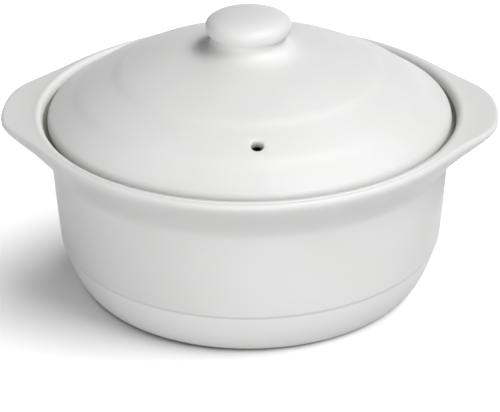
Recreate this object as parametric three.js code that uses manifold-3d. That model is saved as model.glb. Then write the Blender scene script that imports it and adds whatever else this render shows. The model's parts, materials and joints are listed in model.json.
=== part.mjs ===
// A glazed clay casserole of 22 cm: a pot whose flared rim widens into two ears, and a domed lid with a knob.
// Millimetres and degrees. The origin is on the table under the pot's centre, +Z is up, the ears lie along X.
import * as THREE from 'three';
import { mergeVertices } from 'three/addons/utils/BufferGeometryUtils.js';
import Module from 'manifold-3d';

// Fit of the lid in the pot
const LID_DIAMETER = 220;
const LID_PLAY = 2.5; // between the lid's edge and the gallery's wall
const SEAT_GAP = 0.3; // between pieces that rest on each other

// Rim and gallery, the sunk ledge that carries the lid
const RIM_HEIGHT = 98.8; // crest of the rim above the table
const GALLERY_DEPTH = 7.8;
const GALLERY_FILLET = 2.2;
const LEDGE_WIDTH = 11;
const CREST_WIDTH = 3.8; // from the gallery's wall to the crest
const LIP_WIDTH = 3; // from the crest to the outside of the plain rim
const LIP_DROP = 0.5; // top of the lip's edge below the crest
const LIP_ROUND = 2.4; // height and depth of the rounded upper edge
const LIP_BELLY = 5; // height over which the plain rim rounds in under its edge
const FLARE_DROP = 25.3; // start of the flare below the crest
const FLARE_RISE = 7; // height over which the wall turns out into the flare

// Ears
const EAR_REACH = 16; // beyond the plain rim
const EAR_BELLY = 3; // height over which an ear rounds in under its edge
const EAR_DROP = 1.2; // top of an ear's edge below the crest
const EAR_DISH_PLACE = 0.3; // shares of the way from the crest to the edge, sideways and down,
const EAR_DISH_DEPTH = 0.85; // of the point that draws an ear's top into a shallow dish
const EAR_HALF_ANGLE = 18.2; // where half of the reach is left
const EAR_FALLOFF = 4;

// Bowl, floor and foot
const WALL_THICKNESS = 7;
const WALL_TAPER = 2.8;
const WALL_SWELL_PLACE = 0.35; // shares of the way along the wall, sideways and up,
const WALL_SWELL_RISE = 0.25; // of the point that draws it outwards
const FLOOR_THICKNESS = 7;
const FLOOR_BEND = 22; // from the bowl's wall to where the floor is flat
const STEP_HEIGHT = 25.6; // the trimmed line above the foot
const STEP_DEPTH = 0.8;
const BAND_LEAN = 4.6; // from the trimmed line in to where the band below it stands upright
const BAND_RISE = 0.35; // share of the band's height at which it does
const FOOT_SETBACK = 13.9; // from the trimmed line in to the foot ring
const FOOT_RUN = 6.3; // how far the band sweeps out along the table before it turns up
const FOOT_WIDTH = 10;
const FOOT_RECESS = 3;
const FOOT_CHAMFER = 2;

// Lid
const DOME_HEIGHT = 33.4;
const DOME_ROUNDNESS = 2.3; // 2 is a parabola, more is flatter on top
const LID_THICKNESS = 6;
const LID_EDGE_THICKNESS = 6.7;
const LID_EDGE_ROUND = 2.2; // from the lid's outside in to where its rounded edge starts
const LID_EDGE_BULGE = 0.8; // pull of the rounded edge beyond the lid's outside
const LID_EDGE_SHOULDER = 0.75; // share of the edge's height at which it rounds over
const SEAT_WIDTH = 5;
const RING_INSETS = [16, 38]; // throwing rings, from the lid's edge
const RING_STEP = 0.9;
const RING_WIDTH = 6;
const VENT_BORE = 6.2;
const VENT_MOUTH = 7.6;
const VENT_FLARE = 1.2;
const VENT_INSET = 24.8; // from the lid's edge
const VENT_TURN = 4.7; // from straight ahead, towards +X

// Knob
const KNOB_DIAMETER = 46.2;
const CAP_OVERHANG = 3.6;
const CAP_UNDER = 5;
const CAP_CROWN = 7;
const NECK_HEIGHT = 7.2;
const KNOB_FLARE = 11; // from the neck out to the foot of the knob
const KNOB_FOOT_EDGE = 0.8;
const NECK_WAIST = 0.12; // share of the neck's height at which it turns out into the foot
const CAP_SHOULDER = 0.65; // share of the crown's height up to which the cap stays wide
const CAP_FLAT = 0.62; // share of the cap's radius out to which its top stays flat

// Fineness of the faceted solids
const POT_SECTIONS = 80;
const EAR_CROWDING = 0.45; // share by which sections crowd together at the ears
const ROUND_SECTIONS = 56;
const RING_SHARES = [-0.5, -0.17, 0.17, 0.5]; // points across a throwing ring
const CROWN_SHARES = [0, 0.34, 0.67, 1]; // points from the axis to the knob's foot
const DOME_SHARES = [0.25, 0.5, 0.75]; // points from the knob's foot to the inner ring
const INSIDE_SHARES = [0, 0.3, 0.55, 0.72, 0.86, 0.96]; // points of the lid's inside, out to its seat

// Worked out from the sizes above
const lidRadius = LID_DIAMETER / 2;
const galleryRadius = lidRadius + LID_PLAY;
const ledgeHeight = RIM_HEIGHT - GALLERY_DEPTH;
const bowlRadius = galleryRadius - LEDGE_WIDTH;
const wallRadius = bowlRadius + WALL_THICKNESS;
const crestRadius = galleryRadius + CREST_WIDTH;
const lipRadius = crestRadius + LIP_WIDTH;
const stepRadius = wallRadius - WALL_TAPER - STEP_DEPTH;
const footRadius = stepRadius - FOOT_SETBACK;
const floorHeight = FOOT_RECESS + FLOOR_THICKNESS;
const seatHeight = ledgeHeight + SEAT_GAP;
const lidEdgeTop = seatHeight + LID_EDGE_THICKNESS;
const knobRadius = KNOB_DIAMETER / 2;
const neckRadius = knobRadius - CAP_OVERHANG;
const knobFootRadius = neckRadius + KNOB_FLARE;

const wasm = await Module();
wasm.setup();

const point = (radius, height) => new THREE.Vector2(radius, height);
const { degToRad, lerp: mix, radToDeg, smoothstep } = THREE.MathUtils;

// Points of a bend that leaves one point towards a pull point and arrives at another from it
function bend(from, pull, to, steps) {
  return new THREE.QuadraticBezierCurve(from, pull, to).getPoints(steps);
}

// One outline from several stretches, each of which starts where the last one ended
function chain(...stretches) {
  return stretches.flatMap((stretch, index) => (index === 0 ? stretch : stretch.slice(1)));
}

// Share of the ears' reach at an angle from +X: 1 in the middle of an ear, almost 0 between the ears
function earShare(angle) {
  const fromEar = Math.abs(((angle + 90) % 180) - 90);
  return 1 / (1 + (fromEar / EAR_HALF_ANGLE) ** EAR_FALLOFF);
}

// Underside, foot ring, trimmed band and wall, from the axis out and up to the start of the flare
function outerOutline() {
  const wallStart = point(stepRadius + STEP_DEPTH, STEP_HEIGHT + 2 * STEP_DEPTH);
  const flareStart = point(wallRadius, RIM_HEIGHT - FLARE_DROP);
  const footInside = footRadius - FOOT_WIDTH;
  const foot = [
    point(0, FOOT_RECESS),
    point(footInside - FOOT_CHAMFER, FOOT_RECESS),
    point(footInside, 0),
    point(footRadius, 0),
  ];
  const band = new THREE.CubicBezierCurve(
    point(footRadius, 0),
    point(footRadius + FOOT_RUN, 0),
    point(stepRadius - BAND_LEAN, STEP_HEIGHT * BAND_RISE),
    point(stepRadius, STEP_HEIGHT),
  ).getPoints(6);
  const step = [point(stepRadius, STEP_HEIGHT), wallStart];
  const wallPull = point(
    mix(wallStart.x, flareStart.x, WALL_SWELL_PLACE),
    mix(wallStart.y, flareStart.y, WALL_SWELL_RISE),
  );
  return chain(foot, band, step, bend(wallStart, wallPull, flareStart, 4));
}

// Flare, rounded edge and top of the rim, for a share of the ears' reach
function rimOutline(share) {
  const edgeRadius = lipRadius + EAR_REACH * share;
  const edgeTop = RIM_HEIGHT - mix(LIP_DROP, EAR_DROP, share);
  const start = point(wallRadius, RIM_HEIGHT - FLARE_DROP);
  const edge = point(edgeRadius, edgeTop - LIP_ROUND);
  const flare = new THREE.CubicBezierCurve(
    start,
    point(start.x, start.y + FLARE_RISE),
    point(edge.x, edge.y - mix(LIP_BELLY, EAR_BELLY, share)),
    edge,
  ).getPoints(8);
  const top = point(edgeRadius - LIP_ROUND, edgeTop);
  const crest = point(crestRadius, RIM_HEIGHT);
  const topPull = point(
    mix(top.x, mix(crest.x, top.x, EAR_DISH_PLACE), share),
    mix(crest.y, mix(crest.y, top.y, EAR_DISH_DEPTH), share),
  );
  return chain(flare, bend(edge, point(edge.x, top.y), top, 3), bend(top, topPull, crest, 3));
}

// Gallery, ledge, bowl and floor, from the crest of the rim in and down to the axis
function innerOutline() {
  const crest = point(crestRadius, RIM_HEIGHT);
  const wallFoot = point(galleryRadius, ledgeHeight + GALLERY_FILLET);
  const ledgeStart = point(galleryRadius - GALLERY_FILLET, ledgeHeight);
  const ledgeEnd = point(bowlRadius + GALLERY_FILLET, ledgeHeight);
  const bowlTop = point(bowlRadius, ledgeHeight - GALLERY_FILLET);
  const bowlFoot = point(bowlRadius - WALL_TAPER, floorHeight + FLOOR_BEND);
  const floorEdge = point(bowlFoot.x - FLOOR_BEND, floorHeight);
  return chain(
    bend(crest, point(galleryRadius, RIM_HEIGHT), wallFoot, 4),
    bend(wallFoot, point(galleryRadius, ledgeHeight), ledgeStart, 2),
    [ledgeStart, ledgeEnd],
    bend(ledgeEnd, point(bowlRadius, ledgeHeight), bowlTop, 2),
    [bowlTop, bowlFoot],
    bend(bowlFoot, point(bowlFoot.x, floorHeight), floorEdge, 6),
    [floorEdge, point(0, floorHeight)],
  );
}

// Closed surface through outlines that stand at angles round the axis, each starting and ending on it
function loftGeometry(angles, outlineAt) {
  const outlines = angles.map(outlineAt);
  const ringSize = outlines[0].length - 2;
  const first = outlines[0][0];
  const last = outlines[0][ringSize + 1];
  const positions = [0, 0, first.y, 0, 0, last.y];
  outlines.forEach((outline, k) => {
    const angle = degToRad(angles[k]);
    for (const { x: radius, y: height } of outline.slice(1, -1)) {
      positions.push(radius * Math.cos(angle), radius * Math.sin(angle), height);
    }
  });
  const indices = [];
  for (let k = 0; k < angles.length; k += 1) {
    const here = 2 + k * ringSize;
    const next = 2 + ((k + 1) % angles.length) * ringSize;
    indices.push(0, next, here);
    for (let j = 0; j + 1 < ringSize; j += 1) {
      indices.push(here + j, next + j, next + j + 1);
      indices.push(here + j, next + j + 1, here + j + 1);
    }
    indices.push(here + ringSize - 1, next + ringSize - 1, 1);
  }
  const geometry = new THREE.BufferGeometry();
  geometry.setAttribute('position', new THREE.Float32BufferAttribute(positions, 3));
  geometry.setIndex(indices);
  return geometry;
}

// Solid of revolution about +Z, from an outline that starts and ends on the axis
function turnedSolid(outline) {
  const turned = new THREE.LatheGeometry(outline, ROUND_SECTIONS);
  turned.rotateX(Math.PI / 2);
  turned.deleteAttribute('normal');
  turned.deleteAttribute('uv');
  const merged = mergeVertices(turned, 1e-4);
  const corners = Array.from(merged.index.array);
  const triangles = [];
  for (let k = 0; k < corners.length; k += 3) {
    const [a, b, c] = corners.slice(k, k + 3);
    if (a !== b && b !== c && c !== a) triangles.push(a, b, c);
  }
  return new wasm.Manifold(new wasm.Mesh({
    numProp: 3,
    vertProperties: new Float32Array(merged.attributes.position.array),
    triVerts: new Uint32Array(triangles),
  }));
}

// Geometry of a finished solid
function geometryOf(solid) {
  const { vertProperties, triVerts } = solid.getMesh();
  const geometry = new THREE.BufferGeometry();
  geometry.setAttribute('position', new THREE.BufferAttribute(vertProperties, 3));
  geometry.setIndex(new THREE.BufferAttribute(triVerts, 1));
  return geometry;
}

// Height of the lid's outside at a radius: a dome with a soft step down at each throwing ring
function domeHeight(radius) {
  const dome = lidEdgeTop + DOME_HEIGHT * (1 - (radius / lidRadius) ** DOME_ROUNDNESS);
  const steps = RING_INSETS.map((inset) => {
    const ring = lidRadius - inset;
    return 1 - smoothstep(radius, ring - RING_WIDTH / 2, ring + RING_WIDTH / 2);
  });
  return dome + RING_STEP * steps.reduce((sum, step) => sum + step, 0);
}

// Slope of the lid's outside at a radius, falling outwards
function domeFall(radius) {
  return (DOME_HEIGHT * DOME_ROUNDNESS / lidRadius) * (radius / lidRadius) ** (DOME_ROUNDNESS - 1);
}

// Point of the lid's inside under a radius of its outside
function domeInside(radius) {
  return point(radius, domeHeight(radius) - LID_THICKNESS * Math.hypot(1, domeFall(radius)));
}

// Radii at which the crown of the dome is drawn, shared by the lid and the knob that sits on it
function crownRadii() {
  return CROWN_SHARES.map((share) => share * knobFootRadius);
}

// Radii from the knob's foot to the lid's edge, close together across each throwing ring
function domeRadii() {
  const edge = lidRadius - LID_EDGE_ROUND;
  const middles = RING_INSETS.map((inset) => lidRadius - inset);
  const rings = middles.flatMap((middle) => RING_SHARES.map((share) => middle + share * RING_WIDTH));
  const between = DOME_SHARES.map((share) => mix(knobFootRadius, middles.at(-1), share));
  return [...between, ...rings, edge].filter((r) => r > knobFootRadius && r <= edge).sort((a, b) => a - b);
}

// Outline of the lid from the axis inside, over the seat and the rounded edge, to the crown
function lidOutline() {
  const seatEnd = lidRadius - LID_EDGE_ROUND;
  const seatStart = seatEnd - SEAT_WIDTH;
  const edgeTop = point(seatEnd, domeHeight(seatEnd));
  const inside = INSIDE_SHARES.map((share) => domeInside(share * seatStart));
  const seat = [point(seatStart, seatHeight), point(seatEnd, seatHeight)];
  const edge = new THREE.CubicBezierCurve(
    point(seatEnd, seatHeight),
    point(lidRadius + LID_EDGE_BULGE, seatHeight),
    point(lidRadius + LID_EDGE_BULGE, mix(seatHeight, edgeTop.y, LID_EDGE_SHOULDER)),
    edgeTop,
  ).getPoints(5);
  const outside = [...crownRadii(), ...domeRadii()].reverse().map((r) => point(r, domeHeight(r)));
  return [...inside, ...chain(seat, edge, outside)];
}

// Cutter for the steam vent, square to the dome, with a flared mouth on the outside
function ventCutter() {
  const radius = lidRadius - VENT_INSET;
  const reach = 2 * LID_THICKNESS;
  const cutter = turnedSolid([
    point(0, -reach),
    point(VENT_BORE / 2, -reach),
    point(VENT_BORE / 2, -VENT_FLARE),
    point(VENT_MOUTH / 2, 0),
    point(VENT_MOUTH / 2, LID_THICKNESS),
    point(0, LID_THICKNESS),
  ]);
  const tilt = radToDeg(Math.atan(domeFall(radius)));
  return cutter
    .rotate([0, tilt, 0])
    .translate([radius, 0, domeHeight(radius)])
    .rotate([0, 0, -90 + VENT_TURN]);
}

// Outline of the knob: a foot that follows the dome's crown, a waisted neck and a rounded cap
function knobOutline() {
  const underside = crownRadii().map((r) => point(r, domeHeight(r) + SEAT_GAP));
  const capBase = domeHeight(0) + SEAT_GAP + NECK_HEIGHT;
  const capWidest = capBase + CAP_UNDER;
  const capTop = capWidest + CAP_CROWN;
  const footTop = point(knobFootRadius, underside.at(-1).y + KNOB_FOOT_EDGE);
  const neckTop = point(neckRadius, capBase);
  const widest = point(knobRadius, capWidest);
  const neckPull = point(neckRadius, mix(footTop.y, capBase, NECK_WAIST));
  const cap = new THREE.CubicBezierCurve(
    widest,
    point(knobRadius, mix(capWidest, capTop, CAP_SHOULDER)),
    point(knobRadius * CAP_FLAT, capTop),
    point(0, capTop),
  ).getPoints(6);
  return chain(
    underside,
    [underside.at(-1), footTop],
    bend(footTop, neckPull, neckTop, 5),
    bend(neckTop, point(knobRadius, capBase), widest, 3),
    cap,
  );
}

// Named piece with its glaze
function piece(name, geometry, colour, roughness) {
  const glaze = new THREE.MeshStandardMaterial({ color: colour, roughness, metalness: 0 });
  const mesh = new THREE.Mesh(geometry, glaze);
  mesh.name = name;
  return mesh;
}

// Pot: one moulded body, lofted round the axis with the sections closest together at the ears
function makePot() {
  const outer = outerOutline();
  const inner = innerOutline();
  const angles = Array.from({ length: POT_SECTIONS }, (_, k) => {
    const turn = (360 * k) / POT_SECTIONS;
    return turn - radToDeg(EAR_CROWDING * Math.sin(degToRad(2 * turn))) / 2;
  });
  const geometry = loftGeometry(angles, (angle) => chain(outer, rimOutline(earShare(angle)), inner));
  return piece('pot', geometry, 0xe9e8e4, 0.35);
}

// Lid: a turned dome with the steam vent cut through its front
function makeLid() {
  return piece('lid', geometryOf(turnedSolid(lidOutline()).subtract(ventCutter())), 0xeae9e5, 0.33);
}

// Knob: turned by itself and set on the dome's crown
function makeKnob() {
  return piece('lid_knob', geometryOf(turnedSolid(knobOutline())), 0xeae9e5, 0.33);
}

const cover = new THREE.Group();
cover.add(makeLid(), makeKnob());

const casserole = new THREE.Group();
casserole.add(makePot(), cover);

export default casserole;
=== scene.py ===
"""Looks of a white glazed clay casserole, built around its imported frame.

A pot whose flared rim widens into two ears, a domed lid that sits in the rim's gallery, and the lid's knob.
Each one is turned as a smooth shell of clay and glazed. Lengths are in metres and angles in degrees. +Z is
up, the table is at Z = 0 and the ears lie along X.
"""

import json
import logging
import math
from dataclasses import dataclass, field
from enum import Enum
from typing import Any

import bmesh
import bpy
from bmesh.types import BMEdge, BMesh, BMFace, BMVert
from bpy.types import Material, Node, NodeSocket, NodeTree, Object
from mathutils import Matrix, Vector
from mathutils.geometry import interpolate_bezier

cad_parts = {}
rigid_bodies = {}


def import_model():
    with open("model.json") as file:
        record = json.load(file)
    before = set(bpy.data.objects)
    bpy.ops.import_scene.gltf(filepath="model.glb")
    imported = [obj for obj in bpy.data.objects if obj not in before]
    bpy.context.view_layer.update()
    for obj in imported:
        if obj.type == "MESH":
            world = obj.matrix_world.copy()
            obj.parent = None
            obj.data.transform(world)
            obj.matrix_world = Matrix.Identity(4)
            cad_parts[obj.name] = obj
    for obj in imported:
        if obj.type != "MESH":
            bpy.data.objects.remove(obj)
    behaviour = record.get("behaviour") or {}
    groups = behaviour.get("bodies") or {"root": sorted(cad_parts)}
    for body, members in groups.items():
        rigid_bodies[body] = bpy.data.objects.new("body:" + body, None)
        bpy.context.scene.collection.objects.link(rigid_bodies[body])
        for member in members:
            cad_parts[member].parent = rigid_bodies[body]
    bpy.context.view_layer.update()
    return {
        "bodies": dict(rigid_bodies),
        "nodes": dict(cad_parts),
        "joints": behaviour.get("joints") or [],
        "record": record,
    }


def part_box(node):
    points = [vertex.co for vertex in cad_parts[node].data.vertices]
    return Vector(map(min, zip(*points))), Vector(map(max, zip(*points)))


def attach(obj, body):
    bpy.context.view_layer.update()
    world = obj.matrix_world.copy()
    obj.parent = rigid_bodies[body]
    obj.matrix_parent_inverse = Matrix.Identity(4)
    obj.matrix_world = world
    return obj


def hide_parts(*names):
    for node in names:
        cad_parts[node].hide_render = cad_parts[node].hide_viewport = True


LOG = logging.getLogger("casserole")
STATION = "station"
MERGE_DISTANCE = 1e-6

Outline = list[Vector]
Inputs = dict[str | int, Any]
Colour = tuple[float, float, float, float]


class Body(Enum):
    """Bodies of the frame that the pieces ride on."""

    POT = "pot"
    LID = "lid"


class Clay(Enum):
    """CAD nodes that the glazed pieces stand for."""

    POT = "pot"
    LID = "lid"
    KNOB = "lid_knob"


class Slot(Enum):
    """Material slots of the record."""

    POT = "pot_glaze"
    LID = "lid_glaze"
    KNOB = "knob_glaze"


class Lit(Enum):
    """What a lamp of the studio lights."""

    POT = "lit_pot"
    PAPER = "lit_paper"


# Outlines, as points of a radius and a height


def point(radius: float, height: float) -> Vector:
    """Gives one point of an outline."""
    return Vector((radius, height))


def sweep(start: Vector, leave: Vector, arrive: Vector, end: Vector, steps: int) -> Outline:
    """Draws a curve that leaves its start towards one point and arrives at its end from another."""
    return interpolate_bezier(start, leave, arrive, end, steps + 1)


def bend(start: Vector, pull: Vector, end: Vector, steps: int) -> Outline:
    """Draws a bend whose two ends both aim at one pull point, both ends included."""
    share = 2 / 3
    return sweep(start, start.lerp(pull, share), end.lerp(pull, share), end, steps)


def line(start: Vector, end: Vector, steps: int) -> Outline:
    """Draws a straight stretch in equal steps, both ends included."""
    return [start.lerp(end, number / steps) for number in range(steps + 1)]


def chain(*stretches: Outline) -> Outline:
    """Joins stretches into one outline, each starting where the last one ended.

    Args:
        stretches: Points of each stretch, in order.

    Returns:
        The points of all stretches, with each shared end only once.
    """
    joined = list(stretches[0])
    for stretch in stretches[1:]:
        joined.extend(stretch[1:])
    return joined


def soften(corners: Outline, radius: float, steps: int) -> Outline:
    """Rounds the corners between the first and the last point of an outline.

    Args:
        corners: Points of the outline with sharp corners.
        radius: Distance from a corner to where its rounding starts.
        steps: Number of straight steps in each rounding.

    Returns:
        The points of the outline with round corners.
    """
    rounded = [corners[0]]
    for before, corner, after in zip(corners, corners[1:], corners[2:]):
        arrive = corner + (before - corner).normalized() * radius
        depart = corner + (after - corner).normalized() * radius
        rounded.extend(bend(arrive, corner, depart, steps))
    rounded.append(corners[-1])
    return rounded


def smooth_step(value: float, low: float, high: float) -> float:
    """Rises smoothly from 0 at the low value to 1 at the high one."""
    share = min(max((value - low) / (high - low), 0.0), 1.0)
    return share * share * (3 - 2 * share)


def turn(outline: Outline, steps: int, heading: float = 0.0) -> BMesh:
    """Spins an outline that starts and ends on the Z axis into a closed shell.

    Each vertex keeps the number of its outline point in the station layer.

    Args:
        outline: Points of the outline.
        steps: Number of steps round the axis.
        heading: Direction of the first section, from +X.

    Returns:
        The closed shell, with its faces pointing outwards.
    """
    shell = bmesh.new()
    station = shell.verts.layers.int.new(STATION)
    facing = Matrix.Rotation(math.radians(heading), 3, "Z")
    last: BMVert | None = None
    for number, (radius, height) in enumerate(outline):
        vert = shell.verts.new(facing @ Vector((radius, 0, height)))
        vert[station] = number
        if last:
            shell.edges.new((last, vert))
        last = vert
    bmesh.ops.spin(
        shell,
        geom=shell.verts[:] + shell.edges[:],
        axis=(0, 0, 1),
        angle=math.tau,
        steps=steps,
        use_merge=True,
    )
    bmesh.ops.remove_doubles(shell, verts=shell.verts[:], dist=MERGE_DISTANCE)
    bmesh.ops.recalc_face_normals(shell, faces=shell.faces[:])
    return shell


def edges_at(verts: list[BMVert]) -> list[BMEdge]:
    """Lists the edges that meet at some vertices, each only once and always in the same order."""
    return list(dict.fromkeys(edge for vert in verts for edge in vert.link_edges))


# Finishes


def add_node(tree: NodeTree, kind: str, values: Inputs | None = None, **options: Any) -> Node:
    """Adds a node to a tree.

    Args:
        tree: Node tree of a material, a world or a group.
        kind: Type name of the node.
        values: Values or source sockets of the node's inputs, by name or number.
        options: Properties to set on the node itself.

    Returns:
        The new node.
    """
    node = tree.nodes.new(kind)
    for option, setting in options.items():
        setattr(node, option, setting)
    for key, value in (values or {}).items():
        if isinstance(value, NodeSocket):
            tree.links.new(value, node.inputs[key])
        else:
            node.inputs[key].default_value = value
    return node


class ShaderGroup:
    """A shader node group that is built once and placed in several materials."""

    name = ""
    inputs: dict[str, str] = {}
    outputs: dict[str, str] = {}

    def tree(self) -> NodeTree:
        """Gives the group's node tree, built on first use.

        Returns:
            The node tree of the group.
        """
        known = bpy.data.node_groups.get(self.name)
        if known:
            return known
        tree = bpy.data.node_groups.new(self.name, "ShaderNodeTree")
        for label, kind in self.inputs.items():
            tree.interface.new_socket(name=label, in_out="INPUT", socket_type=kind)
        for label, kind in self.outputs.items():
            tree.interface.new_socket(name=label, in_out="OUTPUT", socket_type=kind)
        self.wire(tree, add_node(tree, "NodeGroupInput"), add_node(tree, "NodeGroupOutput"))
        return tree

    def wire(self, tree: NodeTree, given: Node, result: Node) -> None:
        """Wires the group's nodes between its inputs and outputs."""
        raise NotImplementedError

    def place(self, tree: NodeTree, **values: Any) -> Node:
        """Places the group in a material, its inputs named with _ for each space."""
        named = {key.replace("_", " "): value for key, value in values.items()}
        return add_node(tree, "ShaderNodeGroup", named, node_tree=self.tree())


class GlazeCloud(ShaderGroup):
    """Slow change of a glaze's tone where it lies thicker or thinner."""

    name = "glaze_cloud"
    inputs = {
        "Place": "NodeSocketVector",
        "Scale": "NodeSocketFloat",
        "Thick": "NodeSocketColor",
        "Thin": "NodeSocketColor",
    }
    outputs = {"Tone": "NodeSocketColor", "Depth": "NodeSocketFloat"}
    detail = 3.0
    fineness = 0.45
    noise_low = 0.3
    noise_high = 0.7

    def wire(self, tree: NodeTree, given: Node, result: Node) -> None:
        """Mixes two tones by a soft noise.

        Args:
            tree: Node tree of the group.
            given: Node with the group's inputs.
            result: Node with the group's outputs.
        """
        cloud = add_node(
            tree,
            "ShaderNodeTexNoise",
            {
                "Vector": given.outputs["Place"],
                "Scale": given.outputs["Scale"],
                "Detail": self.detail,
                "Roughness": self.fineness,
            },
        )
        depth = add_node(
            tree,
            "ShaderNodeMapRange",
            {"Value": cloud.outputs["Fac"], "From Min": self.noise_low, "From Max": self.noise_high},
            interpolation_type="SMOOTHSTEP",
        )
        tone = add_node(
            tree,
            "ShaderNodeMixRGB",
            {
                "Fac": depth.outputs["Result"],
                "Color1": given.outputs["Thin"],
                "Color2": given.outputs["Thick"],
            },
        )
        tree.links.new(tone.outputs["Color"], result.inputs["Tone"])
        tree.links.new(depth.outputs["Result"], result.inputs["Depth"])


class GlazeSkin(ShaderGroup):
    """Fine unevenness of a fired glaze: a slow swell and a fine orange peel."""

    name = "glaze_skin"
    inputs = {
        "Place": "NodeSocketVector",
        "Swell Scale": "NodeSocketFloat",
        "Swell": "NodeSocketFloat",
        "Peel Scale": "NodeSocketFloat",
        "Peel": "NodeSocketFloat",
    }
    outputs = {"Height": "NodeSocketFloat"}
    swell_detail = 1.0
    peel_detail = 2.0

    def wire(self, tree: NodeTree, given: Node, result: Node) -> None:
        """Adds the two noises, each by its own height.

        Args:
            tree: Node tree of the group.
            given: Node with the group's inputs.
            result: Node with the group's outputs.
        """
        swell = add_node(
            tree,
            "ShaderNodeTexNoise",
            {
                "Vector": given.outputs["Place"],
                "Scale": given.outputs["Swell Scale"],
                "Detail": self.swell_detail,
            },
        )
        peel = add_node(
            tree,
            "ShaderNodeTexNoise",
            {
                "Vector": given.outputs["Place"],
                "Scale": given.outputs["Peel Scale"],
                "Detail": self.peel_detail,
            },
        )
        raised = add_node(
            tree,
            "ShaderNodeMath",
            {0: swell.outputs["Fac"], 1: given.outputs["Swell"]},
            operation="MULTIPLY",
        )
        total = add_node(
            tree,
            "ShaderNodeMath",
            {0: peel.outputs["Fac"], 1: given.outputs["Peel"], 2: raised.outputs["Value"]},
            operation="MULTIPLY_ADD",
        )
        tree.links.new(total.outputs["Value"], result.inputs["Height"])


class PatchMask(ShaderGroup):
    """Mask of a patch within a distance, with a slightly ragged edge."""

    name = "patch_mask"
    inputs = {
        "Place": "NodeSocketVector",
        "Distance": "NodeSocketFloat",
        "Limit": "NodeSocketFloat",
        "Ragged": "NodeSocketFloat",
    }
    outputs = {"Mask": "NodeSocketFloat"}
    ragged_scale = 260.0
    ragged_detail = 2.0
    edge_low = -0.0003
    edge_high = 0.0003

    def wire(self, tree: NodeTree, given: Node, result: Node) -> None:
        """Compares the distance with a limit that a noise moves in and out.

        Args:
            tree: Node tree of the group.
            given: Node with the group's inputs.
            result: Node with the group's outputs.
        """
        noise = add_node(
            tree,
            "ShaderNodeTexNoise",
            {"Vector": given.outputs["Place"], "Scale": self.ragged_scale, "Detail": self.ragged_detail},
        )
        limit = add_node(
            tree,
            "ShaderNodeMath",
            {0: noise.outputs["Fac"], 1: given.outputs["Ragged"], 2: given.outputs["Limit"]},
            operation="MULTIPLY_ADD",
        )
        inside = add_node(
            tree,
            "ShaderNodeMath",
            {0: limit.outputs["Value"], 1: given.outputs["Distance"]},
            operation="SUBTRACT",
        )
        mask = add_node(
            tree,
            "ShaderNodeMapRange",
            {"Value": inside.outputs["Value"], "From Min": self.edge_low, "From Max": self.edge_high},
            interpolation_type="SMOOTHSTEP",
        )
        tree.links.new(mask.outputs["Result"], result.inputs["Mask"])


@dataclass(frozen=True)
class FootBand:
    """A band of a piece up to a height: where it stands or seats, as bare clay that at the pot's foot is
    also painted shade along the contact line, or as a lighter tone painted on for bounce light from the
    floor.
    """

    height: float
    ragged: float = 0.0004

    def mask(self, tree: NodeTree, place: NodeSocket) -> NodeSocket:
        """Makes the mask of the band.

        Args:
            tree: Node tree of the material.
            place: Object coordinates.

        Returns:
            The socket that is 1 in the band.
        """
        parts = add_node(tree, "ShaderNodeSeparateXYZ", {"Vector": place})
        band = PatchMask().place(
            tree, Place=place, Distance=parts.outputs["Z"], Limit=self.height, Ragged=self.ragged
        )
        return band.outputs["Mask"]


@dataclass(frozen=True)
class BareRing:
    """A ring of bare clay round the axis, where another piece seats; on the pot's ledge its dark tone is
    also painted shade in the gap round the lid.
    """

    radius: float
    height: float
    reach: float
    ragged: float = 0.0006

    def mask(self, tree: NodeTree, place: NodeSocket) -> NodeSocket:
        """Makes the mask of the ring.

        Args:
            tree: Node tree of the material.
            place: Object coordinates.

        Returns:
            The socket that is 1 where the clay is bare.
        """
        parts = add_node(tree, "ShaderNodeSeparateXYZ", {"Vector": place})
        flat = add_node(
            tree, "ShaderNodeVectorMath", {0: place, 1: (1.0, 1.0, 0.0)}, operation="MULTIPLY"
        )
        outwards = add_node(tree, "ShaderNodeVectorMath", {0: flat.outputs["Vector"]}, operation="LENGTH")
        section = add_node(
            tree, "ShaderNodeCombineXYZ", {"X": outwards.outputs["Value"], "Y": parts.outputs["Z"]}
        )
        away = add_node(
            tree,
            "ShaderNodeVectorMath",
            {0: section.outputs["Vector"], 1: (self.radius, self.height, 0.0)},
            operation="DISTANCE",
        )
        ring = PatchMask().place(
            tree, Place=place, Distance=away.outputs["Value"], Limit=self.reach, Ragged=self.ragged
        )
        return ring.outputs["Mask"]


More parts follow.
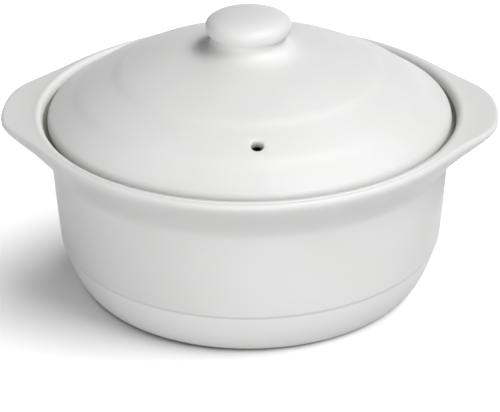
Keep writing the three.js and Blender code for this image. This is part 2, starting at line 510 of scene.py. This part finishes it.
@dataclass(frozen=True)
class SatinGlaze:
    """White satin glaze, with the clay left bare in places, its dark tone partly painted shade, and a
    lighter tone painted on in some bands as bounce light from the floor.
    """

    name: str
    bare: tuple[FootBand | BareRing, ...] = ()
    painted_bounce_bands: tuple[FootBand, ...] = ()
    thick: Colour = (0.76, 0.76, 0.757, 1.0)
    thin: Colour = (0.735, 0.735, 0.729, 1.0)
    # Painted bounce light: a lighter tone for the bands that the floor lights from below
    painted_bounce_tone: Colour = (0.86, 0.86, 0.857, 1.0)
    # Bare clay, kept dark partly as painted shade in the gallery gap and along the foot's contact line
    clay: Colour = (0.38, 0.365, 0.335, 1.0)
    gloss_low: float = 0.42
    gloss_high: float = 0.47
    clay_roughness: float = 0.85
    sheen_level: float = 0.36
    cloud_scale: float = 22.0
    swell_scale: float = 45.0
    swell: float = 0.6
    peel_scale: float = 900.0
    peel: float = 0.02
    bump_distance: float = 0.00035

    def tint(self, tree: NodeTree, mask: NodeSocket, tone: NodeSocket, colour: Colour) -> NodeSocket:
        """Lays a colour over a tone where the mask is 1."""
        mixed = add_node(tree, "ShaderNodeMixRGB", {"Fac": mask, "Color1": tone, "Color2": colour})
        return mixed.outputs["Color"]

    def make(self) -> Material:
        """Makes the material.

        Returns:
            The glaze's material.
        """
        material = bpy.data.materials.new(self.name)
        material.use_nodes = True
        tree = material.node_tree
        shader = tree.nodes["Principled BSDF"]
        place = add_node(tree, "ShaderNodeTexCoord").outputs["Object"]
        cloud = GlazeCloud().place(
            tree, Place=place, Scale=self.cloud_scale, Thick=self.thick, Thin=self.thin
        )
        gloss = add_node(
            tree,
            "ShaderNodeMapRange",
            {"Value": cloud.outputs["Depth"], "To Min": self.gloss_high, "To Max": self.gloss_low},
        )
        tone = cloud.outputs["Tone"]
        roughness = gloss.outputs["Result"]
        # Painted bounce light: a lighter tone laid over these bands
        for band in self.painted_bounce_bands:
            tone = self.tint(tree, band.mask(tree, place), tone, self.painted_bounce_tone)
        # Bare clay patches; their dark tone is partly painted shade in the gallery gap and at the foot
        for patch in self.bare:
            mask = patch.mask(tree, place)
            tone = self.tint(tree, mask, tone, self.clay)
            roughness = add_node(
                tree,
                "ShaderNodeMapRange",
                {"Value": mask, "To Min": roughness, "To Max": self.clay_roughness},
            ).outputs["Result"]
        skin = GlazeSkin().place(
            tree,
            Place=place,
            Swell_Scale=self.swell_scale,
            Swell=self.swell,
            Peel_Scale=self.peel_scale,
            Peel=self.peel,
        )
        bump = add_node(
            tree,
            "ShaderNodeBump",
            {"Height": skin.outputs["Height"], "Distance": self.bump_distance},
        )
        shader.inputs["Specular IOR Level"].default_value = self.sheen_level
        tree.links.new(tone, shader.inputs["Base Color"])
        tree.links.new(roughness, shader.inputs["Roughness"])
        tree.links.new(bump.outputs["Normal"], shader.inputs["Normal"])
        return material


# Pieces


@dataclass
class GlazedPiece:
    """What every glazed piece of the casserole shares."""

    name = "glazed_piece"
    body = Body.POT
    clay = Clay.POT
    slot = Slot.POT
    sections = 288

    def build(self) -> BMesh:
        """Shapes the piece in place. Returns its mesh."""
        raise NotImplementedError

    def finish(self) -> SatinGlaze:
        """Gives the piece's finish."""
        raise NotImplementedError

    def dress(self) -> Object:
        """Builds the piece, glazes it and sets it on its body.

        Returns:
            The finished object.
        """
        shell = self.build()
        mesh = bpy.data.meshes.new(self.name)
        shell.to_mesh(mesh)
        shell.free()
        mesh.attributes.remove(mesh.attributes[STATION])
        mesh.shade_smooth()
        mesh.materials.append(self.finish().make())
        piece = bpy.data.objects.new(self.name, mesh)
        bpy.context.scene.collection.objects.link(piece)
        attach(piece, self.body.value)
        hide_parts(self.clay.value)
        return piece


@dataclass
class PotShell(GlazedPiece):
    """The pot, one piece of clay: foot ring, trimmed band, wall, flared rim with ears, gallery and bowl."""

    name = "glazed_pot"
    body = Body.POT
    clay = Clay.POT
    slot = Slot.POT

    rim_height: float
    lip_radius: float
    ear_radius: float
    lip_width: float = 0.003
    lip_drop: float = 0.0005
    lip_round: float = 0.0024
    lip_belly: float = 0.005
    crest_width: float = 0.0038
    flare_drop: float = 0.0253
    flare_rise: float = 0.007
    ear_belly: float = 0.0038
    ear_flare_rise: float = 0.002
    ear_drop: float = 0.0012
    ear_dish_place: float = 0.3
    ear_dish_depth: float = 0.85
    ear_half_angle: float = 18.2
    ear_falloff: float = 4.0
    gallery_depth: float = 0.0078
    gallery_fillet: float = 0.0022
    ledge_width: float = 0.011
    wall_thickness: float = 0.0075
    wall_taper: float = 0.0028
    wall_swell_place: float = 0.35
    wall_swell_rise: float = 0.25
    floor_thickness: float = 0.007
    floor_bend: float = 0.022
    step_height: float = 0.0256
    step_depth: float = 0.0008
    band_lean: float = 0.0036
    band_rise: float = 0.38
    foot_setback: float = 0.0132
    foot_run: float = 0.0034
    foot_width: float = 0.01
    foot_recess: float = 0.003
    foot_chamfer: float = 0.002
    foot_round: float = 0.0008
    # The pot's bare foot band is this tall partly so that its dark clay paints shade along the contact line
    bare_height: float = 0.0016
    bare_ledge_and_shade_reach: float = 0.0063
    corner_steps: int = 3
    band_steps: int = 16
    wall_steps: int = 20
    flare_steps: int = 24
    lip_steps: int = 8
    top_steps: int = 10
    gallery_steps: int = 12
    fillet_steps: int = 5
    ledge_steps: int = 3
    bowl_steps: int = 8
    bowl_bend_steps: int = 14
    floor_steps: int = 6

    def __post_init__(self) -> None:
        """Works out the radii and heights that follow from the sizes."""
        self.crest_radius = self.lip_radius - self.lip_width
        self.gallery_radius = self.crest_radius - self.crest_width
        self.bowl_radius = self.gallery_radius - self.ledge_width
        self.wall_radius = self.bowl_radius + self.wall_thickness
        self.step_radius = self.wall_radius - self.wall_taper - self.step_depth
        self.foot_radius = self.step_radius - self.foot_setback
        self.ledge_height = self.rim_height - self.gallery_depth
        self.floor_height = self.foot_recess + self.floor_thickness
        self.flare_start = point(self.wall_radius, self.rim_height - self.flare_drop)
        self.crest = point(self.crest_radius, self.rim_height)

    @classmethod
    def from_frame(cls) -> "PotShell":
        """Takes the rim's height and reach from the CAD pot.

        Returns:
            A pot of the frame's size.
        """
        _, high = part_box(Clay.POT.value)
        pot = cls(rim_height=high.z, lip_radius=high.y, ear_radius=high.x)
        # Even square to the ears, the box holds a small share of their reach
        rest = pot.ear_share(90)
        plain = (high.y - rest * high.x) / (1 - rest)
        return cls(rim_height=high.z, lip_radius=plain, ear_radius=high.x)

    def outer_outline(self) -> Outline:
        """Draws the underside, foot ring, trimmed band and wall.

        Returns:
            The points from the axis out and up to the start of the flare.
        """
        foot_inside = self.foot_radius - self.foot_width
        band_start = point(self.foot_radius, 0)
        band_end = point(self.step_radius, self.step_height)
        band = sweep(
            band_start,
            point(self.foot_radius + self.foot_run, 0),
            point(self.step_radius - self.band_lean, self.step_height * self.band_rise),
            band_end,
            self.band_steps,
        )
        # The foot's rounding takes the place of the band's first two points, the step's of its last
        foot = soften(
            [
                point(0, self.foot_recess),
                point(foot_inside - self.foot_chamfer, self.foot_recess),
                point(foot_inside, 0),
                band_start,
                band[2],
            ],
            self.foot_round,
            self.corner_steps,
        )
        wall_start = point(self.step_radius + self.step_depth, self.step_height + 2 * self.step_depth)
        wall_pull = point(
            wall_start.x + (self.flare_start.x - wall_start.x) * self.wall_swell_place,
            wall_start.y + (self.flare_start.y - wall_start.y) * self.wall_swell_rise,
        )
        wall = bend(wall_start, wall_pull, self.flare_start, self.wall_steps)
        step_corners = [band[-2], band_end, wall_start, wall[1]]
        step = soften(step_corners, self.step_depth / 2, self.corner_steps)
        return chain(foot, band[2:-1], step, wall[1:])

    def rim_outline(self, share: float) -> Outline:
        """Draws the flare, the rounded edge and the top of the rim.

        Args:
            share: Share of the ears' reach, from 0 on the plain rim to 1 in the middle of an ear.

        Returns:
            The points from the start of the flare to the crest.
        """
        edge_radius = self.lip_radius + (self.ear_radius - self.lip_radius) * share
        edge_top = self.rim_height - self.lip_drop - (self.ear_drop - self.lip_drop) * share
        belly = self.lip_belly + (self.ear_belly - self.lip_belly) * share
        rise = self.flare_rise + (self.ear_flare_rise - self.flare_rise) * share
        start = self.flare_start
        edge = point(edge_radius, edge_top - self.lip_round)
        top = point(edge_radius - self.lip_round, edge_top)
        flare = sweep(
            start,
            point(start.x, start.y + rise),
            point(edge.x, edge.y - belly),
            edge,
            self.flare_steps,
        )
        rounded = point(top.x, self.crest.y)
        dished = point(
            self.crest.x + (top.x - self.crest.x) * self.ear_dish_place,
            self.crest.y + (top.y - self.crest.y) * self.ear_dish_depth,
        )
        return chain(
            flare,
            bend(edge, point(edge.x, top.y), top, self.lip_steps),
            bend(top, rounded.lerp(dished, share), self.crest, self.top_steps),
        )

    def inner_outline(self) -> Outline:
        """Draws the gallery, its ledge, the bowl and the floor.

        Returns:
            The points from the crest in and down to the axis.
        """
        gallery_foot = point(self.gallery_radius, self.ledge_height + self.gallery_fillet)
        ledge_start = point(self.gallery_radius - self.gallery_fillet, self.ledge_height)
        ledge_end = point(self.bowl_radius + self.gallery_fillet, self.ledge_height)
        bowl_top = point(self.bowl_radius, self.ledge_height - self.gallery_fillet)
        bowl_foot = point(self.bowl_radius - self.wall_taper, self.floor_height + self.floor_bend)
        floor_edge = point(bowl_foot.x - self.floor_bend, self.floor_height)
        gallery_top = point(self.gallery_radius, self.rim_height)
        gallery_corner = point(self.gallery_radius, self.ledge_height)
        ledge_corner = point(self.bowl_radius, self.ledge_height)
        floor_corner = point(bowl_foot.x, self.floor_height)
        return chain(
            bend(self.crest, gallery_top, gallery_foot, self.gallery_steps),
            bend(gallery_foot, gallery_corner, ledge_start, self.fillet_steps),
            line(ledge_start, ledge_end, self.ledge_steps),
            bend(ledge_end, ledge_corner, bowl_top, self.fillet_steps),
            line(bowl_top, bowl_foot, self.bowl_steps),
            bend(bowl_foot, floor_corner, floor_edge, self.bowl_bend_steps),
            line(floor_edge, point(0, self.floor_height), self.floor_steps),
        )

    def ear_share(self, angle: float) -> float:
        """Gives the ears' share in a direction from +X: 1 in an ear's middle, almost 0 between them."""
        from_ear = abs((angle + 90) % 180 - 90)
        return 1 / (1 + (from_ear / self.ear_half_angle) ** self.ear_falloff)

    def build(self) -> BMesh:
        """Turns the plain pot, then draws the rim out into the ears.

        Returns:
            The pot's mesh.
        """
        outer = self.outer_outline()
        plain = self.rim_outline(0)
        ear = self.rim_outline(1)
        shell = turn(chain(outer, plain, self.inner_outline()), self.sections)
        station = shell.verts.layers.int[STATION]
        first = len(outer) - 1
        for vert in shell.verts:
            number = vert[station] - first
            if 0 <= number < len(plain):
                angle = math.degrees(math.atan2(vert.co.y, vert.co.x))
                out, up = (ear[number] - plain[number]) * self.ear_share(angle)
                outwards = vert.co.xy.normalized() * out
                vert.co += Vector((outwards.x, outwards.y, up))
        bmesh.ops.recalc_face_normals(shell, faces=shell.faces[:])
        return shell

    def finish(self) -> SatinGlaze:
        """Gives the pot's glaze, with a lighter tone painted on below the trimmed line as bounce light from
        the floor, and wiped off the foot and the ledge, where the bare clay's dark tone is also painted
        shade along the contact line and in the gallery gap.

        Returns:
            The pot's finish.
        """
        # Bare ledge and foot: real bare clay whose dark tone is also painted shade in the gallery gap and
        # along the contact line
        ledge = BareRing((self.gallery_radius + self.bowl_radius) / 2, self.ledge_height, self.bare_ledge_and_shade_reach)
        # Painted bounce light: the band below the trimmed line gets a lighter tone for light from the floor
        painted_bounce_band = FootBand(self.step_height, ragged=0.0)
        return SatinGlaze("pot_satin_glaze", bare=(FootBand(self.bare_height), ledge), painted_bounce_bands=(painted_bounce_band,))


@dataclass
class DomedLid(GlazedPiece):
    """The lid: a low dome with two throwing rings, a seating edge and a steam vent."""

    name = "glazed_lid"
    body = Body.LID
    clay = Clay.LID
    slot = Slot.LID

    radius: float
    seat_height: float
    edge_thickness: float = 0.0067
    edge_round: float = 0.0022
    edge_bulge: float = 0.0008
    edge_shoulder: float = 0.75
    dome_height: float = 0.0334
    roundness: float = 2.3
    thickness: float = 0.006
    seat_width: float = 0.005
    seat_round: float = 0.0008
    ring_insets: tuple[float, ...] = (0.016, 0.038)
    ring_step: float = 0.0009
    ring_width: float = 0.006
    vent_bore: float = 0.0062
    vent_mouth: float = 0.0076
    vent_flare: float = 0.001
    vent_flare_bend: float = 0.4
    vent_edge: float = 0.0004
    vent_edge_drop: float = 0.00012
    vent_foot: float = 0.0006
    vent_inset: float = 0.0257
    vent_turn: float = 4.7
    vent_cells: int = 3
    cell: float = 0.0018
    bare_height: float = 0.0009
    edge_steps: int = 18
    seat_steps: int = 4

    def __post_init__(self) -> None:
        """Works out the places that follow from the sizes."""
        self.edge_top = self.seat_height + self.edge_thickness
        self.vent_radius = self.radius - self.vent_inset
        self.vent_heading = self.vent_turn - 90

    @classmethod
    def from_frame(cls) -> "DomedLid":
        """Takes the lid's reach and seat from the CAD lid."""
        low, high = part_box(Clay.LID.value)
        return cls(radius=high.x, seat_height=low.z)

    def dome(self, radius: float) -> float:
        """Gives the height of the lid's outside at a radius.

        Args:
            radius: Distance from the axis.

        Returns:
            The height of the dome, with its soft step down at each throwing ring.
        """
        height = self.edge_top + self.dome_height * (1 - (radius / self.radius) ** self.roundness)
        for inset in self.ring_insets:
            ring = self.radius - inset
            half = self.ring_width / 2
            height += self.ring_step * (1 - smooth_step(radius, ring - half, ring + half))
        return height

    def fall(self, radius: float) -> float:
        """Gives the slope of the dome at a radius, falling outwards."""
        steepest = self.dome_height * self.roundness / self.radius
        return steepest * (radius / self.radius) ** (self.roundness - 1)

    def inside(self, radius: float) -> Vector:
        """Gives the point of the lid's inside under a radius of its outside."""
        return point(radius, self.dome(radius) - self.thickness * math.hypot(1, self.fall(radius)))

    def vent_frame(self) -> Matrix:
        """Gives the place of the vent.

        Returns:
            A matrix at the vent's mouth, with Z square to the dome and X down the slope.
        """
        lean = Matrix.Rotation(math.atan(self.fall(self.vent_radius)), 4, "Y")
        out = Matrix.Translation((self.vent_radius, 0, self.dome(self.vent_radius)))
        return Matrix.Rotation(math.radians(self.vent_heading), 4, "Z") @ out @ lean

    def outline(self) -> Outline:
        """Draws the lid's section.

        Returns:
            The points from the axis inside, over the seat and the rounded edge, to the crown.
        """
        seat_end = self.radius - self.edge_round
        seat_start = seat_end - self.seat_width
        lean = math.atan(self.fall(self.vent_radius))
        vent_inside = self.vent_radius - self.thickness * math.sin(lean)
        inner_start = vent_inside - self.cell * int(vent_inside / self.cell)
        inner_count = int((seat_start - self.edge_round - inner_start) / self.cell)
        inner_radii = [0.0] + [inner_start + self.cell * number for number in range(inner_count)]
        outer_start = self.vent_radius - self.cell * int(self.vent_radius / self.cell)
        outer_count = int((seat_end - outer_start) / self.cell)
        outer_radii = [outer_start + self.cell * number for number in range(outer_count)]
        edge_top = point(seat_end, self.dome(seat_end))
        swell = self.radius + self.edge_bulge
        edge = sweep(
            point(seat_end, self.seat_height),
            point(swell, self.seat_height),
            point(swell, self.seat_height + (edge_top.y - self.seat_height) * self.edge_shoulder),
            edge_top,
            self.edge_steps,
        )
        inside = [self.inside(radius) for radius in inner_radii]
        seat = soften(
            [inside[-1], point(seat_start, self.seat_height), edge[0]],
            self.seat_round,
            self.seat_steps,
        )
        outside = [point(radius, self.dome(radius)) for radius in reversed(outer_radii)]
        crown = [point(0, self.dome(0))]
        return chain(inside, seat, edge) + outside + crown

    def vent_rings(self) -> list[tuple[float, float]]:
        """Lists the vent's rings.

        Returns:
            The radius and depth of each ring, from the mouth down to the lid's inside.
        """
        mouth = self.vent_mouth / 2
        bore = self.vent_bore / 2
        return [
            (mouth + self.vent_edge, 0.0),
            (mouth, self.vent_edge_drop),
            ((mouth + bore) / 2, self.vent_flare * self.vent_flare_bend),
            (bore, self.vent_flare),
            (bore, self.thickness - self.vent_foot),
            (bore + self.vent_edge, self.thickness),
        ]

    def pierce_vent(self, shell: BMesh) -> None:
        """Opens the dome at the vent and lines the hole with rings down to the inside.

        Args:
            shell: Mesh of the whole lid.
        """
        frame = self.vent_frame()
        to_vent = frame.inverted()
        slope = math.hypot(1, self.fall(self.vent_radius))
        reach_down = self.cell * self.vent_cells * slope
        reach_across = self.vent_radius * math.tau / self.sections * self.vent_cells
        opened: list[BMFace] = []
        for face in shell.faces:
            place = to_vent @ face.calc_center_median()
            close = abs(place.x) < reach_down and abs(place.y) < reach_across
            if close and abs(place.z) < 2 * self.thickness:
                opened.append(face)
        bmesh.ops.delete(shell, geom=opened, context="FACES")
        outside: list[BMEdge] = []
        inside: list[BMEdge] = []
        for edge in shell.edges:
            if edge.is_boundary:
                middle = to_vent @ ((edge.verts[0].co + edge.verts[1].co) / 2)
                (outside if middle.z > -self.thickness / 2 else inside).append(edge)
        above = outside
        for radius, depth in self.vent_rings():
            ring = bmesh.ops.create_circle(
                shell,
                segments=len(outside),
                radius=radius,
                matrix=frame @ Matrix.Translation((0, 0, -depth)),
            )
            rim = edges_at(ring["verts"])
            bmesh.ops.bridge_loops(shell, edges=above + rim)
            above = rim
        bmesh.ops.bridge_loops(shell, edges=above + inside)

    def build(self) -> BMesh:
        """Turns the lid and pierces its vent.

        Returns:
            The lid's mesh.
        """
        shell = turn(self.outline(), self.sections, self.vent_heading)
        self.pierce_vent(shell)
        bmesh.ops.recalc_face_normals(shell, faces=shell.faces[:])
        return shell

    def finish(self) -> SatinGlaze:
        """Gives the lid's glaze, wiped off its seat."""
        return SatinGlaze("lid_satin_glaze", bare=(FootBand(self.seat_height + self.bare_height),))


@dataclass
class LidKnob(GlazedPiece):
    """The knob: a rounded cap on a waisted neck whose foot runs out into the dome."""

    name = "glazed_knob"
    body = Body.LID
    clay = Clay.KNOB
    slot = Slot.KNOB

    lid: DomedLid
    top: float
    diameter: float = 0.0462
    overhang: float = 0.0036
    under: float = 0.005
    crown: float = 0.007
    foot_reach: float = 0.0132
    foot_sink: float = 0.00001
    root_reach: float = 0.002
    root_sink: float = 0.0001
    foot_leave: float = 0.75
    neck_waist: float = 0.45
    cap_shoulder: float = 0.65
    cap_flat: float = 0.62
    flare_steps: int = 24
    under_steps: int = 12
    cap_steps: int = 26

    @classmethod
    def from_frame(cls, lid: DomedLid) -> "LidKnob":
        """Takes the knob's top from the CAD knob, and its foot from the lid that it stands on."""
        _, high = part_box(Clay.KNOB.value)
        return cls(lid=lid, top=high.z)

    def outline(self) -> Outline:
        """Draws the knob's section.

        Returns:
            The points from the axis under the knob, over its foot, neck and cap, to its top.
        """
        radius = self.diameter / 2
        neck = radius - self.overhang
        foot = neck + self.foot_reach
        widest_height = self.top - self.crown
        base_height = widest_height - self.under
        foot_tip = point(foot, self.lid.dome(foot) - self.foot_sink)
        root = foot + self.root_reach
        climb = self.lid.fall(foot)
        leave = self.foot_reach * self.foot_leave
        neck_top = point(neck, base_height)
        widest = point(radius, widest_height)
        flare = sweep(
            foot_tip,
            point(foot - leave, foot_tip.y + leave * climb),
            point(neck, foot_tip.y + (base_height - foot_tip.y) * self.neck_waist),
            neck_top,
            self.flare_steps,
        )
        cap = sweep(
            widest,
            point(radius, widest_height + self.crown * self.cap_shoulder),
            point(radius * self.cap_flat, self.top),
            point(0, self.top),
            self.cap_steps,
        )
        hidden = [point(reach, self.lid.dome(reach) - self.root_sink) for reach in (0.0, root / 2, root)]
        under = bend(neck_top, point(radius, base_height), widest, self.under_steps)
        return hidden + chain(flare, under, cap)

    def build(self) -> BMesh:
        """Turns the knob. Returns its mesh."""
        return turn(self.outline(), self.sections)

    def finish(self) -> SatinGlaze:
        """Gives the knob's glaze."""
        return SatinGlaze("knob_satin_glaze")


# Studio


@dataclass(frozen=True)
class SoftLamp:
    """A large distant lamp, given by where it stands as seen from the pot."""

    name: str
    azimuth: float
    elevation: float
    strength: float
    spread: float
    lit: Lit = Lit.POT

    def hang(self) -> Object:
        """Makes the lamp, aims it at the pot and links it to what it lights.

        Returns:
            The lamp's object.
        """
        light = bpy.data.lights.new(self.name, "SUN")
        light.energy = self.strength
        light.angle = math.radians(self.spread)
        lamp = bpy.data.objects.new(self.name, light)
        turned = Matrix.Rotation(math.radians(self.azimuth + 90), 4, "Z")
        lowered = Matrix.Rotation(math.radians(90 - self.elevation), 4, "X")
        lamp.matrix_world = turned @ lowered
        lamp.light_linking.receiver_collection = bpy.data.collections[self.lit.value]
        bpy.context.scene.collection.objects.link(lamp)
        return lamp


@dataclass
class Studio:
    """White floor, soft lamps, pale surroundings and the camera."""

    floor_radius: float = 6.0
    floor_segments: int = 96
    backdrop_height: float = 1.0
    floor_tone: Colour = (0.2, 0.2, 0.2, 1.0)
    floor_shown: Colour = (1.0, 1.0, 1.0, 1.0)
    surround: Colour = (1.0, 1.0, 1.0, 1.0)
    surround_strength: float = 0.02
    lamps: tuple[SoftLamp, ...] = (
        SoftLamp("key_lamp", -25.0, 60.0, 1.39, 30.0),
        SoftLamp("right_lamp", -60.0, 50.0, 0.7, 36.0),
        SoftLamp("low_lamp", -99.0, -1.0, 1.53, 42.0),
        SoftLamp("front_lamp", -80.0, 36.0, 0.5, 30.0),
        SoftLamp("back_lamp", 48.0, 46.0, 0.5, 36.0),
        SoftLamp("top_lamp", 8.0, 58.0, 0.4, 30.0),
        SoftLamp("rear_lamp", 70.0, 8.0, 0.32, 45.0),
        SoftLamp("paper_key", -20.0, 42.0, 2.6, 46.0, Lit.PAPER),
        SoftLamp("paper_right", 15.0, 48.0, 1.3, 90.0, Lit.PAPER),
        SoftLamp("paper_left", 180.0, 35.0, 0.5, 90.0, Lit.PAPER),
        SoftLamp("paper_back", 58.0, 45.0, 2.05, 40.0, Lit.PAPER),
        SoftLamp("paper_sky", 150.0, 78.0, 0.85, 60.0, Lit.PAPER),
    )
    view_azimuth: float = 2.2
    view_elevation: float = 27.45
    view_distance: float = 1.0
    view_roll: float = -0.55
    aim: Vector = field(default_factory=lambda: Vector((-0.0002, 0.0, 0.0364)))
    focal_pixels: float = 1780.0
    frame_width: int = 500

    def lay_floor(self) -> Object:
        """Lays the floor.

        Returns:
            The floor's object.
        """
        disc = bmesh.new()
        bmesh.ops.create_circle(
            disc, cap_ends=True, segments=self.floor_segments, radius=self.floor_radius
        )
        mesh = bpy.data.meshes.new("studio_floor")
        disc.to_mesh(mesh)
        disc.free()
        mesh.materials.append(self.floor_paper())
        floor = bpy.data.objects.new("studio_floor", mesh)
        bpy.context.scene.collection.objects.link(floor)
        floor.visible_shadow = False
        bpy.data.collections[Lit.PAPER.value].objects.link(floor)
        return floor

    def hang_backdrop(self) -> Object:
        """Hangs white paper all round the floor, for low views.

        Returns:
            The paper's object, marked as stage.
        """
        wall = bmesh.new()
        ring = bmesh.ops.create_circle(wall, segments=self.floor_segments, radius=self.floor_radius)
        hem = edges_at(ring["verts"])
        drawn = bmesh.ops.extrude_edge_only(wall, edges=hem)
        raised = [part for part in drawn["geom"] if isinstance(part, BMVert)]
        bmesh.ops.translate(wall, verts=raised, vec=(0, 0, self.backdrop_height))
        mesh = bpy.data.meshes.new("studio_backdrop")
        wall.to_mesh(mesh)
        wall.free()
        mesh.materials.append(self.backdrop_paper())
        backdrop = bpy.data.objects.new("studio_backdrop", mesh)
        # The paper's object.
        bpy.context.scene.collection.objects.link(backdrop)
        backdrop.visible_shadow = False
        return backdrop

    def seen_rays(self, tree: NodeTree) -> NodeSocket:
        """Makes the mask of rays that show the paper itself, straight or in a reflection.

        Args:
            tree: Node tree of a paper's material.

        Returns:
            The socket that is 1 for camera, glossy and transmission rays.
        """
        path = add_node(tree, "ShaderNodeLightPath")
        straight = add_node(
            tree,
            "ShaderNodeMath",
            {0: path.outputs["Is Camera Ray"], 1: path.outputs["Is Glossy Ray"]},
            operation="MAXIMUM",
        )
        seen = add_node(
            tree,
            "ShaderNodeMath",
            {0: straight.outputs["Value"], 1: path.outputs["Is Transmission Ray"]},
            operation="MAXIMUM",
        )
        return seen.outputs["Value"]

    def backdrop_paper(self) -> Material:
        """Makes the backdrop's paper, which looks white and gives no light.

        Returns:
            The paper's material.
        """
        material = bpy.data.materials.new("backdrop_paper")
        material.use_nodes = True
        material.cycles.emission_sampling = "NONE"
        tree = material.node_tree
        tree.nodes.remove(tree.nodes["Principled BSDF"])
        white = add_node(tree, "ShaderNodeEmission", {"Strength": self.seen_rays(tree)})
        tree.links.new(white.outputs["Emission"], tree.nodes["Material Output"].inputs["Surface"])
        return material

    def floor_paper(self) -> Material:
        """Makes the floor's paper, which looks white and keeps the shadow.

        Returns:
            The paper's material.
        """
        material = bpy.data.materials.new("floor_paper")
        material.use_nodes = True
        material.cycles.emission_sampling = "NONE"
        tree = material.node_tree
        tree.nodes.remove(tree.nodes["Principled BSDF"])
        seen = self.seen_rays(tree)
        bounce = add_node(tree, "ShaderNodeBsdfDiffuse", {"Color": self.floor_tone})
        shown = add_node(tree, "ShaderNodeBsdfDiffuse", {"Color": self.floor_shown})
        mixed = add_node(
            tree,
            "ShaderNodeMixShader",
            {0: seen, 1: bounce.outputs["BSDF"], 2: shown.outputs["BSDF"]},
        )
        tree.links.new(mixed.outputs["Shader"], tree.nodes["Material Output"].inputs["Surface"])
        return material

    def light_surroundings(self) -> None:
        """Sets the even light of the surroundings."""
        world = bpy.data.worlds.new("studio_surroundings")
        world.use_nodes = True
        background = world.node_tree.nodes["Background"]
        background.inputs["Color"].default_value = self.surround
        background.inputs["Strength"].default_value = self.surround_strength
        bpy.context.scene.world = world

    def place_camera(self) -> Object:
        """Stands the camera where the photograph was taken.

        Returns:
            The camera's object.
        """
        lens = bpy.data.cameras.new("photo_camera")
        lens.sensor_fit = "HORIZONTAL"
        lens.lens = lens.sensor_width * self.focal_pixels / self.frame_width
        camera = bpy.data.objects.new("photo_camera", lens)
        orbit = Matrix.Rotation(math.radians(self.view_azimuth), 4, "Z")
        tip = Matrix.Rotation(math.radians(90 - self.view_elevation), 4, "X")
        roll = Matrix.Rotation(math.radians(self.view_roll), 4, "Z")
        back = Matrix.Translation((0, 0, self.view_distance))
        camera.matrix_world = Matrix.Translation(self.aim) @ orbit @ tip @ back @ roll
        bpy.context.scene.collection.objects.link(camera)
        bpy.context.scene.camera = camera
        return camera

    def build(self, pieces: list[Object]) -> None:
        """Sets up the floor, the light and the camera.

        Args:
            pieces: Objects that the pot's lamps light.
        """
        for lit in Lit:
            bpy.data.collections.new(lit.value)
        for piece in pieces:
            bpy.data.collections[Lit.POT.value].objects.link(piece)
        self.lay_floor()
        self.hang_backdrop()
        self.light_surroundings()
        for lamp in self.lamps:
            lamp.hang()
        self.place_camera()
        bpy.context.scene.view_settings.view_transform = "Standard"


def main() -> None:
    """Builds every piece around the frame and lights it."""
    logging.basicConfig(level=logging.INFO, format="%(name)s: %(message)s")
    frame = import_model()
    lid = DomedLid.from_frame()
    dressed: list[Object] = []
    for piece in (PotShell.from_frame(), lid, LidKnob.from_frame(lid)):
        made = piece.dress()
        dressed.append(made)
        LOG.info("%s: %d faces on body %s", made.name, len(made.data.polygons), piece.body.value)
    Studio().build(dressed)


if __name__ == "__main__":
    main()
